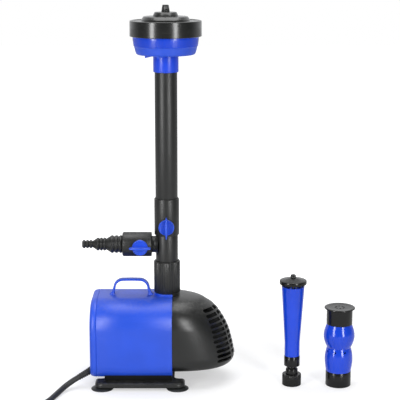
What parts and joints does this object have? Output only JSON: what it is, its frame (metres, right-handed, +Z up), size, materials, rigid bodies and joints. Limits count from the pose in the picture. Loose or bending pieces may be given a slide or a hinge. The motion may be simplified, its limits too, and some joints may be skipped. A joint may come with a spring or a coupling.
{
  "type": "fountain pump",
  "caption": "Submersible fountain pump in a blue housing with handle, slotted strainer, suction-cup base, diverter with valves, riser, round spray head and spare nozzles.",
  "frame": {"origin": "on the ground under the middle of the object without its cord: pump, hose barb and spare nozzles", "axes": "+Z up along the riser, +X along the motor from the rear cover to the strainer, -Y towards the valve knobs"},
  "size_m": [0.6796, 0.2094, 0.546],
  "materials": {
    "blue_plastic": "moulded, light gloss",
    "black_plastic": "moulded, satin",
    "black_rubber": "soft, matt",
    "cord_jacket": "smooth, matt",
    "steel": "bright",
    "coil_winding": "enamelled copper wire",
    "ferrite": "plastic-bonded magnet, matt",
    "ceramic": "polished ceramic",
    "potting_resin": "cast resin",
    "brass_pins": "turned"
  },
  "bodies": {
    "pump": {"motor_housing": "blue_plastic", "rear_cover": "blue_plastic", "stator_core": "steel", "stator_coils": "coil_winding", "resin_block": "potting_resin", "rotor_well": "black_plastic", "rear_bush": "black_rubber", "ceramic_shaft": "ceramic", "front_bush": "ceramic", "pump_chamber": "black_plastic", "chamber_seal": "black_rubber", "chamber_cover": "black_plastic", "chamber_screws": "steel", "base_plate": "black_plastic", "base_screws": "steel", "suction_cup_1": "black_rubber", "suction_cup_2": "black_rubber", "suction_cup_3": "black_rubber", "suction_cup_4": "black_rubber", "union_seal": "black_rubber", "cable_gland": "black_rubber", "power_cord": "cord_jacket", "cord_coil": "cord_jacket", "coil_ties": "black_plastic", "cord_tail": "cord_jacket", "plug_body": "cord_jacket", "plug_pins": "brass_pins"},
    "rotor": {"rotor_magnet": "ferrite", "impeller": "black_plastic"},
    "strainer": {"strainer_housing": "black_plastic"},
    "union_nut": {"union_nut": "black_plastic"},
    "diverter": {"diverter_tee": "black_plastic", "riser_valve_body": "black_plastic", "side_valve_body": "black_plastic", "barb_seal": "black_rubber", "hose_barb": "black_plastic"},
    "riser_knob": {"riser_valve_knob": "blue_plastic", "riser_valve_o_ring": "black_rubber"},
    "side_knob": {"side_valve_knob": "blue_plastic", "side_valve_o_ring": "black_rubber"},
    "riser": {"riser_tube": "black_plastic"},
    "head": {"head_sleeve": "blue_plastic", "head_clip": "black_plastic"},
    "spray": {"spray_bowl": "blue_plastic", "spray_cap": "black_plastic", "centre_jet": "black_plastic"},
    "bell_base": {"bell_stem": "black_plastic"},
    "bell_nut": {"bell_nut": "black_plastic"},
    "bell_upper": {"bell_collar": "black_plastic", "bell_cone": "blue_plastic", "bell_rod": "steel"},
    "deflector": {"deflector_disc": "black_plastic", "deflector_knob": "black_plastic"},
    "tier": {"tier_socket": "black_plastic", "tier_bulbs": "blue_plastic", "tier_cap": "black_plastic"}
  },
  "joints": [
    {"name": "rotor_spin", "type": "hinge", "parent": "pump", "child": "rotor", "pos_m": [-0.074, 0, 0.07175], "axis": [1, 0, 0], "continuous": true},
    {"name": "strainer_pull", "type": "slide", "parent": "pump", "child": "strainer", "axis": [1, 0, 0], "range_m": [0, 0.06]},
    {"name": "union_nut_turn", "type": "hinge", "parent": "pump", "child": "union_nut", "pos_m": [-0.074, 0, 0.1317], "axis": [0, 0, 1], "continuous": true},
    {"name": "diverter_turn", "type": "hinge", "parent": "pump", "child": "diverter", "pos_m": [-0.074, 0, 0.16005], "axis": [0, 0, 1], "continuous": true},
    {"name": "riser_valve_turn", "type": "hinge", "parent": "diverter", "child": "riser_knob", "pos_m": [-0.074, 0, 0.2319], "axis": [0, 1, 0], "range_deg": [0, 90]},
    {"name": "side_valve_turn", "type": "hinge", "parent": "diverter", "child": "side_knob", "pos_m": [-0.112, 0, 0.2025], "axis": [0, 1, 0], "range_deg": [0, 90]},
    {"name": "riser_pull", "type": "slide", "parent": "diverter", "child": "riser", "axis": [0, 0, 1], "range_m": [0, 0.03]},
    {"name": "head_lift", "type": "slide", "parent": "riser", "child": "head", "axis": [0, 0, 1], "range_m": [0, 0.03]},
    {"name": "head_spin", "type": "hinge", "parent": "head", "child": "spray", "pos_m": [-0.074, 0, 0.4763], "axis": [0, 0, 1], "continuous": true},
    {"name": "bell_lift", "type": "slide", "parent": "pump", "child": "bell_base", "axis": [0, 0, 1], "range_m": [0, 0.2]},
    {"name": "bell_nut_turn", "type": "hinge", "parent": "bell_base", "child": "bell_nut", "pos_m": [0.1075, -0.031, 0], "axis": [0, 0, 1], "continuous": true},
    {"name": "bell_tilt", "type": "hinge", "parent": "bell_base", "child": "bell_upper", "pos_m": [0.1075, -0.031, 0.0345], "axis": [0, 1, 0], "range_deg": [-12, 12]},
    {"name": "deflector_raise", "type": "slide", "parent": "bell_upper", "child": "deflector", "axis": [0, 0, 1], "range_m": [0, 0.003]},
    {"name": "tier_lift", "type": "slide", "parent": "pump", "child": "tier", "axis": [0, 0, 1], "range_m": [0, 0.2]}
  ]
}
